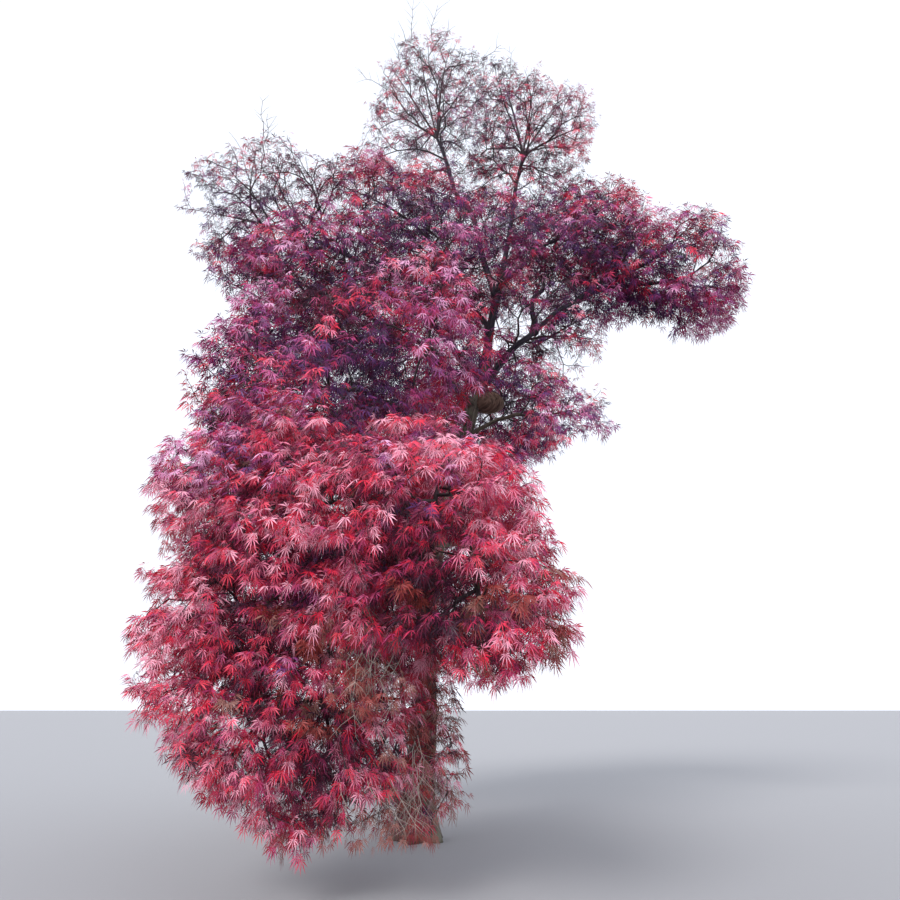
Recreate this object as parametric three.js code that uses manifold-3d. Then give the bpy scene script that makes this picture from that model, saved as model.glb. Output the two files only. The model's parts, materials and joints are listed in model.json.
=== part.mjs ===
// A weeping red maple with narrow-lobed leaves, in autumn colour, rooted in level ground.
// Millimetres, +Z up. The origin is the middle of the flat cut under the trunk, the crown
// cascades towards -Y, and +X is to the right when it is seen from that side.

import * as THREE from "three";
import { mergeVertices } from "three/addons/utils/BufferGeometryUtils.js";
import Module from "manifold-3d";

const wasm = await Module();
wasm.setup();

// Driving dimensions of the trunk
const TRUNK_HEIGHT = 4150; // from the ground to the fork
const TRUNK_LEAN = 600; // how far right of its foot the trunk forks
const TRUNK_SWAY = 70; // the slow bend in the trunk
const TRUNK_SWAY_FORWARD = 0.6; // how far it bends forwards too, as a share of the sway
const TRUNK_FOOT_RADIUS = 125;
const TRUNK_FORK_RADIUS = 44;
const TRUNK_TAPER = 0.9; // under 1, the trunk narrows faster near its foot
const FLARE = 105; // how far the root flare stands out at the ground
const FLARE_HEIGHT = 190; // the height over which the flare dies away
const FLARE_ROOTS = 5;
const FLARE_RIDGE = 0.35; // how much of the flare is in its ridges, as a share of it
const FLARE_GATHER = 1.7; // gathers the trunk's rings towards the flare
const TRUNK_SIDES = 20;
const TRUNK_STEPS = 14;
const GROUND_RING = 20; // the trunk's vertices lower than this are the ring on the ground

// The knot: a rounded burr on the right of the trunk, under the fork
const KNOT_HEIGHT = 3740;
const KNOT_HALF = [150, 120, 115];
const KNOT_OUT = 140; // from the trunk's middle line to the knot's middle
const KNOT_FACETS = [11, 7];

// Driving dimensions of the boughs
const BOUGH_TIP_RADIUS = 15;
const BOUGH_SWELL = 0.0115; // growth in radius for each millimetre of length
const BOUGH_TAPER = 0.8; // under 1, a bough narrows faster near its root
const BOUGH_SWAY = 0.035; // crookedness, as a share of the length
const BOUGH_SIDES = 6;
const BOUGH_STEP = 330;
const FEWEST_STEPS = 4;
const ENTRY = 0.45; // how far out from a mass's middle its bough stops, as a share of the way
const ENTRY_RISE = 0.5; // how much higher it enters a mass that weeps

// Driving dimensions of the foliage. Each spray is a flat blade that stands for many leaves.
const STEM_RADIUS = 11; // where a stem runs out, inside its mass
const STEM_STEPS = 4;
const STEM_SIDES = 5;
const STEM_SHORT = 0.12; // how far a stem stops short of its tip, as a share of its length
const STEM_BEND = 0.35; // how long it keeps its bough's heading, as a share of its length
const STEM_FORKS = [0.12, 0.24, 0.36, 0.48, 0.6, 0.72]; // where twigs may leave a stem
const TWIG_COUNT = 7; // twigs in a mass
const TWIG_RADIUS = 8;
const NECK_RADIUS = 7; // where a twig runs out into its end spray
const ROOM = 0.45; // root radius of a twig, as a share of the wood that it grows from
const TWIG_FILLS = [0.4, 0.7, 1]; // where a twig keeps other tips away, as shares of its length
const TWIG_RISE = 0.14; // how much a twig arches, as a share of its length
const WINDING = 0.35; // how strongly a twig prefers a short way back to the bough
const SPRAY_SHARE = 0.72; // length of a spray, as a share of its space's mean half size
const SPRAY_WIDTH = 0.6; // as a share of its length
const SPRAY_THICKNESS = 16;
const SPRAY_BELLY = 0.42; // where a spray is widest, as a share of its length
const SPRAY_SPACING = 0.45; // between side sprays along a twig, as a share of their length
const SPRAY_SPREAD = 55; // degrees between a side spray and its twig
const SPREAD_RANGE = 0.15; // how much that varies, as a share of it
const SPRAY_LIFT = 0.25; // the rise of a side spray on a mass that doesn't weep
const SPRAY_DROOP = [0.4, 0.9]; // its fall on a mass that weeps fully
const SPRAY_ROLL = [20, 60]; // degrees that a spray is tipped about its length, to either side
const SPRAY_SUNK = 0.4; // how deep its root is, as a share of the wood's radius
const LOWEST_SPRAY = 0.2; // between a twig's root and its first side spray, as a share of a full one
const SHORTEST_SPRAY = 0.5; // as a share of a full one
const SHORTENING = 0.85; // a side spray that doesn't fit is tried again at this share
const LONGEST_BLADE = 0.85; // how much of a twig its end spray may take
const TIPS_TRIED = 500; // points in a mass's space that its twigs choose their tips from
const OUTER_SHARE = 0.1; // under 1/3, it gathers those points towards the outside

const WALL = 4; // half of the clear gap between two masses
const GAP = 0.3; // between pieces that touch on the real tree
const LIMB_CLEARANCE = 2; // between foliage and the limbs that it passes
const TRACE = 1; // cubic millimetres, less than any real overlap
const STEEP = 0.8; // the rise of a curve, as a share of its length, from which it counts as steep
const ON_AXIS = 1e-6; // a vertex this near a shape's axis is the middle of its end
const MERGE = 1e-3; // vertices closer than this are one
const SIMPLER = 0.5; // a joined mass loses vertices that leave its surface by less than this
const UP = new THREE.Vector3(0, 0, 1);
const BACK = new THREE.Vector3(0, 1, 0);

// Each row is a bough and the mass of foliage at its tip. The bough leaves "from" at a share
// "at" of its length. The mass's middle is given as a bearing (0 is +X, 90 is +Y), a reach
// from the trunk's foot and a height; "half" is its half width, half depth and half height.
// "arch" raises the bough's middle, as a share of its length, and "weep" turns sprays down.
const CROWN = [
  { name: "crown_right", from: "trunk", at: 1, bearing: 355, reach: 1150, height: 7150,
    half: [800, 700, 850], arch: 0.03, weep: 0.1 },
  { name: "crown_left", from: "crown_right", at: 0.3, bearing: 264, reach: 300, height: 7250,
    half: [720, 650, 1000], arch: 0.05, weep: 0.1 },
  { name: "upper_right", from: "crown_right", at: 0.35, bearing: 3, reach: 1710, height: 5950,
    half: [600, 600, 430], arch: 0.1, weep: 0.35 },
  { name: "upper_left", from: "trunk", at: 0.96, bearing: 199, reach: 1560, height: 5580,
    half: [1020, 800, 650], arch: 0.14, weep: 0.3 },
  { name: "upper_middle", from: "upper_left", at: 0.18, bearing: 274, reach: 900, height: 5100,
    half: [1050, 700, 620], arch: 0.15, weep: 0.5 },
  { name: "right_tier", from: "trunk", at: 0.93, bearing: 355, reach: 2210, height: 5250,
    half: [800, 750, 470], arch: 0.16, weep: 0.4 },
  { name: "right_tip", from: "right_tier", at: 0.72, bearing: 358, reach: 2820, height: 5020,
    half: [430, 520, 480], arch: 0.18, weep: 0.7 },
  { name: "middle_left_high", from: "trunk", at: 0.89, bearing: 233, reach: 1500, height: 4200,
    half: [900, 700, 520], arch: 0.2, weep: 0.6 },
  { name: "middle_left", from: "trunk", at: 0.76, bearing: 242, reach: 1800, height: 3100,
    half: [830, 700, 560], arch: 0.24, weep: 0.8 },
  { name: "centre", from: "trunk", at: 0.84, bearing: 270, reach: 1400, height: 3650,
    half: [600, 550, 520], arch: 0.22, weep: 0.7 },
  { name: "right_airy", from: "right_tier", at: 0.22, bearing: 0, reach: 1180, height: 4500,
    half: [700, 600, 520], arch: 0.1, weep: 0.3 },
  { name: "right_low", from: "trunk", at: 0.8, bearing: 336, reach: 1220, height: 3400,
    half: [640, 600, 450], arch: 0.22, weep: 0.7 },
  { name: "left_high", from: "middle_left", at: 0.55, bearing: 240, reach: 2080, height: 2150,
    half: [660, 650, 520], arch: 0.3, weep: 0.9 },
  { name: "left_low", from: "trunk", at: 0.52, bearing: 241, reach: 2150, height: 1350,
    half: [550, 600, 560], arch: 0.24, weep: 0.9 },
  { name: "front_high", from: "trunk", at: 0.66, bearing: 274, reach: 2700, height: 1960,
    half: [550, 500, 350], arch: 0.26, weep: 0.8 },
  { name: "front_low", from: "front_high", at: 0.62, bearing: 279, reach: 2620, height: 1380,
    half: [500, 480, 340], arch: 0.2, weep: 0.9 },
  { name: "front_left", from: "front_high", at: 0.4, bearing: 260, reach: 2330, height: 1950,
    half: [520, 500, 540], arch: 0.26, weep: 0.9 },
  { name: "skirt_left", from: "left_low", at: 0.45, bearing: 254, reach: 1980, height: 850,
    half: [540, 520, 620], arch: 0.2, weep: 1 },
  { name: "skirt_right", from: "left_low", at: 0.2, bearing: 268, reach: 1450, height: 800,
    half: [380, 420, 560], arch: 0.26, weep: 1 },
  { name: "back_left_high", from: "trunk", at: 0.94, bearing: 145, reach: 1580, height: 5050,
    half: [950, 800, 620], arch: 0.16, weep: 0.4 },
  { name: "back_high", from: "crown_right", at: 0.12, bearing: 78, reach: 920, height: 5900,
    half: [950, 750, 620], arch: 0.12, weep: 0.3 },
  { name: "back_right_high", from: "right_tier", at: 0.4, bearing: 33, reach: 1660, height: 6050,
    half: [820, 700, 440], arch: 0.1, weep: 0.3 },
  { name: "back_left", from: "trunk", at: 0.81, bearing: 158, reach: 1840, height: 3650,
    half: [880, 800, 720], arch: 0.2, weep: 0.6 },
  { name: "back", from: "trunk", at: 0.9, bearing: 98, reach: 1520, height: 3950,
    half: [950, 750, 720], arch: 0.2, weep: 0.5 },
  { name: "back_right", from: "trunk", at: 0.86, bearing: 57, reach: 1430, height: 4050,
    half: [700, 700, 600], arch: 0.2, weep: 0.6 },
  { name: "back_left_low", from: "trunk", at: 0.6, bearing: 169, reach: 1560, height: 1950,
    half: [740, 800, 850], arch: 0.26, weep: 0.9 },
  { name: "back_low", from: "trunk", at: 0.7, bearing: 101, reach: 1540, height: 2050,
    half: [880, 720, 850], arch: 0.26, weep: 0.9 },
  { name: "back_right_low", from: "trunk", at: 0.56, bearing: 50, reach: 1180, height: 2100,
    half: [580, 650, 680], arch: 0.26, weep: 0.9 },
];

// Colours
const BARK = new THREE.MeshStandardMaterial({ color: 0x574f48, roughness: 0.9, metalness: 0 });
const FOLIAGE = new THREE.MeshStandardMaterial({ color: 0x9c1c33, roughness: 0.6, metalness: 0 });

// Seeded numbers from 0 to 1, the same on every run.
function seededRandom(seed) {
  let state = seed >>> 0;
  return () => {
    state = (state + 0x6d2b79f5) >>> 0;
    let mixed = Math.imul(state ^ (state >>> 15), state | 1);
    mixed ^= mixed + Math.imul(mixed ^ (mixed >>> 7), mixed | 61);
    return ((mixed ^ (mixed >>> 14)) >>> 0) / 4294967296;
  };
}

const between = ([least, most], random) => least + (most - least) * random();

// Between three.js geometry and solids that can be joined and cut

function solidOf(geometry) {
  const bare = geometry.clone();
  bare.deleteAttribute("normal");
  bare.deleteAttribute("uv");
  const merged = mergeVertices(bare, MERGE);
  const mesh = new wasm.Mesh({
    numProp: 3,
    vertProperties: new Float32Array(merged.attributes.position.array),
    triVerts: new Uint32Array(merged.index.array),
  });
  return new wasm.Manifold(mesh);
}

function geometryOf(solid) {
  const { vertProperties, triVerts } = solid.getMesh();
  const geometry = new THREE.BufferGeometry();
  geometry.setAttribute("position", new THREE.BufferAttribute(vertProperties, 3));
  geometry.setIndex(new THREE.BufferAttribute(triVerts, 1));
  return geometry;
}

// The largest piece of a solid: what a cut leaves loose beside it is dropped.
function largestPiece(solid) {
  return solid.decompose().sort((a, b) => b.volume() - a.volume())[0];
}

// Curves, and solids along them

class TrunkCurve extends THREE.Curve {
  getPoint(share, target = new THREE.Vector3()) {
    const sway = TRUNK_SWAY * Math.sin(Math.PI * share) ** 2 * Math.cos(2 * Math.PI * share);
    return target.set(TRUNK_LEAN * share ** 2 + sway, -TRUNK_SWAY_FORWARD * sway, TRUNK_HEIGHT * share);
  }
}

// An arch from a start to a tip, its middle raised by a share of its length.
function archCurve(start, tip, rise) {
  const middle = start.clone().lerp(tip, 0.5).addScaledVector(UP, rise * start.distanceTo(tip));
  return new THREE.QuadraticBezierCurve3(start, middle, tip);
}

// A bough: an arch with a crooked sway sideways and upwards.
class BoughCurve extends THREE.Curve {
  constructor(start, tip, arch, phase) {
    super();
    this.length = start.distanceTo(tip);
    this.arc = archCurve(start, tip, arch);
    this.side = tip.clone().sub(start).cross(UP).normalize();
    this.phase = phase;
  }

  getPoint(share, target = new THREE.Vector3()) {
    const wave = Math.sin(Math.PI * share) * BOUGH_SWAY * this.length;
    this.arc.getPoint(share, target);
    target.addScaledVector(this.side, wave * Math.sin(3 * Math.PI * share + this.phase));
    return target.addScaledVector(UP, 0.5 * wave * Math.sin(5 * Math.PI * share + this.phase));
  }
}

// A curve made straight between the shares of its rings, as its solid is.
class ChordCurve extends THREE.Curve {
  constructor(curve, shares) {
    super();
    this.shares = shares;
    this.rings = shares.map((share) => curve.getPoint(share));
  }

  getPoint(share, target = new THREE.Vector3()) {
    const { shares, rings } = this;
    const i = Math.max(1, shares.findIndex((ring) => ring >= share));
    const part = (share - shares[i - 1]) / (shares[i] - shares[i - 1]);
    return target.lerpVectors(rings[i - 1], rings[i], part);
  }
}

// The axes of a curve's cross-section: across it and raised from it. The raised axis leans
// to straight up, or on a steep curve to the back.
function sectionAxes(curve, share) {
  const chord = curve.getPoint(1).sub(curve.getPoint(0)).normalize();
  const along = curve.getTangent(Math.min(share, 1));
  const across = along.clone().cross(Math.abs(chord.z) < STEEP ? UP : BACK).normalize();
  return { along, across, raised: across.clone().cross(along) };
}

// Bends a round shape that stands on Y, one unit high and with evenly spaced rings, along a
// curve. Each ring goes to its share, and sizeAt(ring, angle) gives how far it stands out
// across and raised. A roll tips the rings about the curve.
function alongCurve(shape, curve, shares, sizeAt, roll = 0) {
  const axes = shares.map((share) => {
    const { along, across, raised } = sectionAxes(curve, share);
    across.applyAxisAngle(along, roll);
    raised.applyAxisAngle(along, roll);
    return { across, raised };
  });
  const position = shape.attributes.position;
  for (let i = 0; i < position.count; i++) {
    const ring = Math.round((position.getY(i) + 0.5) * (shares.length - 1));
    const [x, z] = [position.getX(i), position.getZ(i)];
    const point = curve.getPoint(shares[ring]);
    if (Math.hypot(x, z) > ON_AXIS) {
      const angle = Math.atan2(z, x);
      const [wide, high] = sizeAt(ring, angle);
      point.addScaledVector(axes[ring].across, wide * Math.cos(angle));
      point.addScaledVector(axes[ring].raised, high * Math.sin(angle));
    }
    position.setXYZ(i, point.x, point.y, point.z);
  }
  return shape;
}

const evenShares = (steps) => Array.from({ length: steps + 1 }, (_, i) => i / steps);

// Trunk, knot and boughs

const trunkCurve = new TrunkCurve();

function trunkRadius(share, angle) {
  const taper = THREE.MathUtils.lerp(TRUNK_FOOT_RADIUS, TRUNK_FORK_RADIUS, share ** TRUNK_TAPER);
  const dying = Math.exp((-share * TRUNK_HEIGHT) / FLARE_HEIGHT);
  const ridges = 1 - FLARE_RIDGE + FLARE_RIDGE * Math.cos(FLARE_ROOTS * angle);
  return taper + FLARE * dying * ridges;
}

function trunkSolid(grown) {
  const whole = 1 + grown / TRUNK_HEIGHT;
  const shares = evenShares(TRUNK_STEPS).map((share) => whole * share ** FLARE_GATHER);
  const cylinder = new THREE.CylinderGeometry(1, 1, 1, TRUNK_SIDES, TRUNK_STEPS);
  const shape = alongCurve(cylinder, trunkCurve, shares, (ring, angle) => {
    const radius = trunkRadius(shares[ring], angle) + grown;
    return [radius, radius];
  });
  const position = shape.attributes.position;
  for (let i = 0; i < position.count; i++) {
    if (position.getZ(i) < GROUND_RING) position.setZ(i, 0);
  }
  return solidOf(shape);
}

function knotSolid() {
  const middle = trunkCurve.getPoint(KNOT_HEIGHT / TRUNK_HEIGHT);
  const ball = new THREE.SphereGeometry(1, ...KNOT_FACETS);
  ball.scale(...KNOT_HALF);
  ball.translate(middle.x + KNOT_OUT, middle.y, middle.z);
  return solidOf(ball);
}

function boughRadius(curve, share) {
  const root = BOUGH_TIP_RADIUS + BOUGH_SWELL * curve.length;
  return THREE.MathUtils.lerp(root, BOUGH_TIP_RADIUS, share ** BOUGH_TAPER);
}

function boughSolid(curve, grown) {
  const steps = Math.max(FEWEST_STEPS, Math.round(curve.length / BOUGH_STEP));
  const shares = evenShares(steps).map((share) => share * (1 + grown / curve.length));
  const cylinder = new THREE.CylinderGeometry(1, 1, 1, BOUGH_SIDES, steps);
  return solidOf(alongCurve(cylinder, curve, shares, (ring) => {
    const radius = boughRadius(curve, shares[ring]) + grown;
    return [radius, radius];
  }));
}

// Spaces: each mass keeps to an ellipsoid, cut by a flat wall towards each neighbour.

function middleOf({ bearing, reach, height }) {
  const angle = THREE.MathUtils.degToRad(bearing);
  return new THREE.Vector3(reach * Math.cos(angle), reach * Math.sin(angle), height);
}

// How far an ellipsoid reaches from its middle along a unit direction.
function ellipsoidReach(half, direction) {
  return 1 / Math.hypot(direction.x / half[0], direction.y / half[1], direction.z / half[2]);
}

function spaceOf(row) {
  const middle = middleOf(row);
  const walls = CROWN.filter((other) => other !== row).map((other) => {
    const normal = middleOf(other).sub(middle);
    const distance = normal.length();
    normal.divideScalar(distance);
    const own = ellipsoidReach(row.half, normal);
    const theirs = ellipsoidReach(other.half, normal);
    return { normal, offset: middle.dot(normal) + (distance * own) / (own + theirs) - WALL };
  });
  return { middle, half: row.half, walls };
}

function inside({ middle, half, walls }, point) {
  const from = point.clone().sub(middle);
  if (Math.hypot(from.x / half[0], from.y / half[1], from.z / half[2]) > 1) return false;
  return walls.every(({ normal, offset }) => point.dot(normal) < offset);
}

// How far it is from a space's middle to its edge along a unit direction.
function wayOut({ middle, half, walls }, direction) {
  let way = ellipsoidReach(half, direction);
  for (const { normal, offset } of walls) {
    const closing = direction.dot(normal);
    if (closing > 0) way = Math.min(way, (offset - middle.dot(normal)) / closing);
  }
  return way;
}

// Seeded points in a space, more of them towards its outside.
function pointsIn(space, count, random) {
  const points = [];
  while (points.length < count) {
    const z = 2 * random() - 1;
    const turn = 2 * Math.PI * random();
    const flat = Math.sqrt(1 - z * z);
    const out = random() ** OUTER_SHARE;
    const point = new THREE.Vector3(flat * Math.cos(turn), flat * Math.sin(turn), z);
    point.multiplyScalar(out).multiply(new THREE.Vector3(...space.half)).add(space.middle);
    points.push(point);
  }
  return points.filter((point) => inside(space, point));
}

// Foliage

// The size of the sprays in a space.
function sprayOf({ half }) {
  const length = SPRAY_SHARE * Math.cbrt(half[0] * half[1] * half[2]);
  // The radii that give a three-sided ring its width and its thickness
  const belly = [(SPRAY_WIDTH * length) / Math.sqrt(3), SPRAY_THICKNESS / 1.5];
  return { length, belly };
}

function someRoll(random) {
  const side = random() < 0.5 ? -1 : 1;
  return THREE.MathUtils.degToRad(side * between(SPRAY_ROLL, random));
}

// The shares of a twig's rings: its root, its neck, its spray's belly and its tip.
function twigShares(curve, spray) {
  const end = Math.min(LONGEST_BLADE, spray.length / curve.getLength());
  return [0, 1 - end, 1 - end * (1 - SPRAY_BELLY), 1];
}

// A twig that runs out into a spray. The room is the largest root radius that it may have.
function twigShape(chords, room, spray, random) {
  const root = Math.min(TWIG_RADIUS, room);
  const sizes = [[root, root], [NECK_RADIUS, NECK_RADIUS], spray.belly, [0, 0]];
  const cone = new THREE.CylinderGeometry(0, 1, 1, 3, 3);
  return alongCurve(cone, chords, chords.shares, (ring) => sizes[ring], someRoll(random));
}

// A side spray, pointed at its root and its tip.
function sprayShape(curve, spray, random) {
  const spindle = new THREE.SphereGeometry(0.5, 3, 2, Math.PI / 2);
  return alongCurve(spindle, curve, [0, SPRAY_BELLY, 1], () => spray.belly, someRoll(random));
}

// One mass as it grows. A shape joins it as a solid if it keeps to the space, clear of the
// limbs and, apart from the solid that it grows from, clear of the mass so far.
class Mass {
  constructor(row, space, limbs, random) {
    this.weep = row.weep;
    this.space = space;
    this.limbs = limbs;
    this.random = random;
    this.spray = sprayOf(space);
    this.solids = [];
    this.open = pointsIn(space, TIPS_TRIED, random).map((point) => ({ point, far: Infinity }));
  }

  join(shape, from, filled) {
    const position = shape.attributes.position;
    for (let i = 0; i < position.count; i++) {
      if (!inside(this.space, new THREE.Vector3().fromBufferAttribute(position, i))) return null;
    }
    const solid = solidOf(shape);
    const others = [this.limbs, ...this.solids.filter((other) => other !== from)];
    if (others.some((other) => !solid.intersect(other).isEmpty())) return null;
    this.solids.push(solid);
    filled.forEach((point) => this.fill(point));
    return solid;
  }

  fill(point) {
    for (const tip of this.open) tip.far = Math.min(tip.far, tip.point.distanceTo(point));
  }

  // A stem from the bough's tip to the farthest tip that it reaches clear of other limbs.
  addStem(bough) {
    const start = bough.getPoint(1);
    const heading = bough.getTangent(1);
    const radii = [BOUGH_TIP_RADIUS, BOUGH_TIP_RADIUS, STEM_RADIUS, STEM_RADIUS, 0];
    for (;;) {
      const end = this.takeFarthest().lerp(start, STEM_SHORT);
      const bend = start.clone().addScaledVector(heading, STEM_BEND * start.distanceTo(end));
      const bent = new THREE.QuadraticBezierCurve3(start, bend, end);
      const stem = new ChordCurve(bent, evenShares(STEM_STEPS));
      const cone = new THREE.CylinderGeometry(0, 1, 1, STEM_SIDES, STEM_STEPS);
      const shape = alongCurve(cone, stem, stem.shares, (ring) => [radii[ring], radii[ring]]);
      const solid = solidOf(shape);
      const beyond = solid.subtract(boughSolid(bough, LIMB_CLEARANCE + 1));
      if (beyond.intersect(this.limbs).volume() > TRACE) continue;
      this.solids.push(solid);
      stem.shares.slice(1).forEach((share) => this.fill(stem.getPoint(share)));
      return { stem, solid };
    }
  }

  // The tip still open that is farthest from all that has grown so far.
  takeFarthest() {
    const next = this.open.reduce((best, tip) => (tip.far > best.far ? tip : best));
    this.open = this.open.filter((tip) => tip !== next);
    return next.point;
  }

  // Side sprays along a stem or twig, from a share of it back to its root, left and right in
  // turn, each as long as fits.
  addSideSprays(curve, radius, from, solid) {
    const { random, spray } = this;
    const length = curve.getLength();
    const spacing = SPRAY_SPACING * spray.length;
    let side = random() < 0.5 ? -1 : 1;
    for (let way = from * length; way > LOWEST_SPRAY * spray.length; way -= spacing) {
      const { along, across } = sectionAxes(curve, way / length);
      const spread = SPRAY_SPREAD * between([1 - SPREAD_RANGE, 1 + SPREAD_RANGE], random);
      const turn = THREE.MathUtils.degToRad(spread);
      const direction = along.multiplyScalar(Math.cos(turn));
      direction.addScaledVector(across, side * Math.sin(turn));
      direction.addScaledVector(UP, SPRAY_LIFT - this.weep * between(SPRAY_DROOP, random));
      direction.normalize();
      const root = curve.getPoint(way / length).addScaledVector(direction, -SPRAY_SUNK * radius);
      side = -side;
      for (let scale = 1; scale > SHORTEST_SPRAY; scale *= SHORTENING) {
        const tip = root.clone().addScaledVector(direction, scale * spray.length);
        const shape = sprayShape(archCurve(root, tip, TWIG_RISE), spray, random);
        if (this.join(shape, solid, [tip])) break;
      }
    }
  }
}

// Grows a mass from its bough's tip: a stem through its space, then twigs one by one. Each
// next twig goes to the open tip that is farthest from all that has grown so far, from the
// wood nearest to it.
function massSolid(row, space, bough, limbs, seed) {
  const mass = new Mass(row, space, limbs, seededRandom(seed));
  const start = bough.getPoint(1);
  mass.fill(start);
  const { stem, solid: stemSolid } = mass.addStem(bough);
  mass.addSideSprays(stem, STEM_RADIUS, LONGEST_BLADE, stemSolid);

  const wood = STEM_FORKS.map((share) => ({
    point: stem.getPoint(share),
    way: share * stem.getLength(),
    room: TWIG_RADIUS,
    solid: stemSolid,
  }));
  for (let twigs = 0; twigs < TWIG_COUNT && mass.open.length > 0; ) {
    const target = mass.takeFarthest();
    const cost = ({ point, way }) => point.distanceTo(target) + WINDING * way;
    const from = wood.reduce((best, node) => (cost(node) < cost(best) ? node : best));
    const arch = archCurve(from.point, target, TWIG_RISE);
    if (arch.getLength() < SHORTEST_SPRAY * mass.spray.length) continue;
    const twig = new ChordCurve(arch, twigShares(arch, mass.spray));
    const shape = twigShape(twig, from.room, mass.spray, mass.random);
    const solid = mass.join(shape, from.solid, TWIG_FILLS.map((share) => twig.getPoint(share)));
    if (!solid) continue;
    twigs += 1;
    const neck = twig.shares[1];
    for (const share of [neck / 2, neck]) {
      const way = from.way + share * twig.getLength();
      wood.push({ point: twig.getPoint(share), way, room: ROOM * NECK_RADIUS, solid });
    }
    mass.addSideSprays(twig, NECK_RADIUS, neck, solid);
  }
  const joined = solidOf(geometryOf(wasm.Manifold.union(mass.solids).simplify(SIMPLER)));
  return largestPiece(joined.subtract(boughSolid(bough, GAP)));
}

// Assembly

const tree = new THREE.Group();

function addPiece(name, solid, material) {
  const mesh = new THREE.Mesh(geometryOf(solid), material);
  mesh.name = name;
  tree.add(mesh);
}

const curves = { trunk: trunkCurve };
const spaces = {};
let grownLimbs = trunkSolid(GAP);
addPiece("trunk", trunkSolid(0), BARK);

CROWN.forEach((row, index) => {
  const space = spaceOf(row);
  const start = curves[row.from].getPoint(row.at);
  const entry = start.clone().sub(space.middle).normalize();
  entry.addScaledVector(UP, ENTRY_RISE * row.weep).normalize();
  const tip = space.middle.clone().addScaledVector(entry, ENTRY * wayOut(space, entry));
  const curve = new BoughCurve(start, tip, row.arch, index);
  curves[row.name] = curve;
  spaces[row.name] = space;
  addPiece("bough_" + row.name, largestPiece(boughSolid(curve, 0).subtract(grownLimbs)), BARK);
  grownLimbs = grownLimbs.add(boughSolid(curve, GAP));
});

const knot = largestPiece(knotSolid().subtract(grownLimbs));
addPiece("trunk_knot", knot, BARK);

const limbs = wasm.Manifold.union([
  trunkSolid(LIMB_CLEARANCE),
  knot,
  ...CROWN.map(({ name }) => boughSolid(curves[name], LIMB_CLEARANCE)),
]);
CROWN.forEach((row, index) => {
  const mass = massSolid(row, spaces[row.name], curves[row.name], limbs, index + 1);
  addPiece("foliage_" + row.name, mass, FOLIAGE);
});

export default tree;
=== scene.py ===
"""The looks of a weeping red maple with narrow-lobed leaves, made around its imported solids.

Metres, +Z up. The origin is the middle of the flat cut under the trunk and the crown cascades
towards -Y. The limbs and the spaces of the foliage follow the rules of the part's source, and
twigs and leaves grow on from the limbs by its rule, to finer twigs.
"""

import json
import math
from dataclasses import dataclass
from itertools import product

import bmesh
import bpy
import numpy as np
from numpy.linalg import norm
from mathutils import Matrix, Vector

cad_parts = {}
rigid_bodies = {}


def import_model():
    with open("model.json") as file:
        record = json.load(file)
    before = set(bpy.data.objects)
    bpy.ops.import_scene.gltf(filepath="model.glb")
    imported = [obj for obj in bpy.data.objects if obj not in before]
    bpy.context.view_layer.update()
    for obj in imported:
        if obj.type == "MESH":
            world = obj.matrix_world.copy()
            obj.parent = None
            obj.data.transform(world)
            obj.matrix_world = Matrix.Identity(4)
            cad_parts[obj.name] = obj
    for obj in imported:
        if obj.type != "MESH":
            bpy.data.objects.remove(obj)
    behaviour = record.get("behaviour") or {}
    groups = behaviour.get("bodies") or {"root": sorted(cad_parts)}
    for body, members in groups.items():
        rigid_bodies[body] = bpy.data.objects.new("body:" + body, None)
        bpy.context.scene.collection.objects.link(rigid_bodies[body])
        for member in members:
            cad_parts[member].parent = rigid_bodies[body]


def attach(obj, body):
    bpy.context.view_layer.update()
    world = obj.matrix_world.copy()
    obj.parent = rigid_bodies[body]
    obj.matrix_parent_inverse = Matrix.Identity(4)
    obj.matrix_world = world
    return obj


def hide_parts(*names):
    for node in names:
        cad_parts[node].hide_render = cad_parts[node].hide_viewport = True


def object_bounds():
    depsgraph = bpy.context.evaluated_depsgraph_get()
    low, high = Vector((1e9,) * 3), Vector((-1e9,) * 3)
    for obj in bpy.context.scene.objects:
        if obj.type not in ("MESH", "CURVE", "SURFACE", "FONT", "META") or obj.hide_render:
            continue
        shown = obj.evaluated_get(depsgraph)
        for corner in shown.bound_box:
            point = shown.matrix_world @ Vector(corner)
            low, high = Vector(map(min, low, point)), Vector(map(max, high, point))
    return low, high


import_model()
cad_box = [list(corner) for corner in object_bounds()]

UP = np.array([0.0, 0.0, 1.0])
BACK = np.array([0.0, 1.0, 0.0])

# The trunk, as in the source
TRUNK_HEIGHT = 4.15
TRUNK_LEAN = 0.6
TRUNK_SWAY = 0.07
TRUNK_SWAY_FORWARD = 0.6
TRUNK_FOOT_RADIUS = 0.125
TRUNK_FORK_RADIUS = 0.044
TRUNK_TAPER = 0.9
FLARE = 0.105
FLARE_HEIGHT = 0.19
FLARE_ROOTS = 5
FLARE_RIDGE = 0.35
KNOT_HEIGHT = 3.74
KNOT_HALF = np.array([0.15, 0.12, 0.115])
KNOT_OUT = 0.14
KNOT_GRAIN = 4  # how much shorter its grain is than that of the limbs

# The boughs, as in the source
BOUGH_TIP_RADIUS = 0.015
BOUGH_SWELL = 0.0115
BOUGH_TAPER = 0.8
BOUGH_SWAY = 0.035
ENTRY = 0.45
ENTRY_RISE = 0.5

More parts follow.
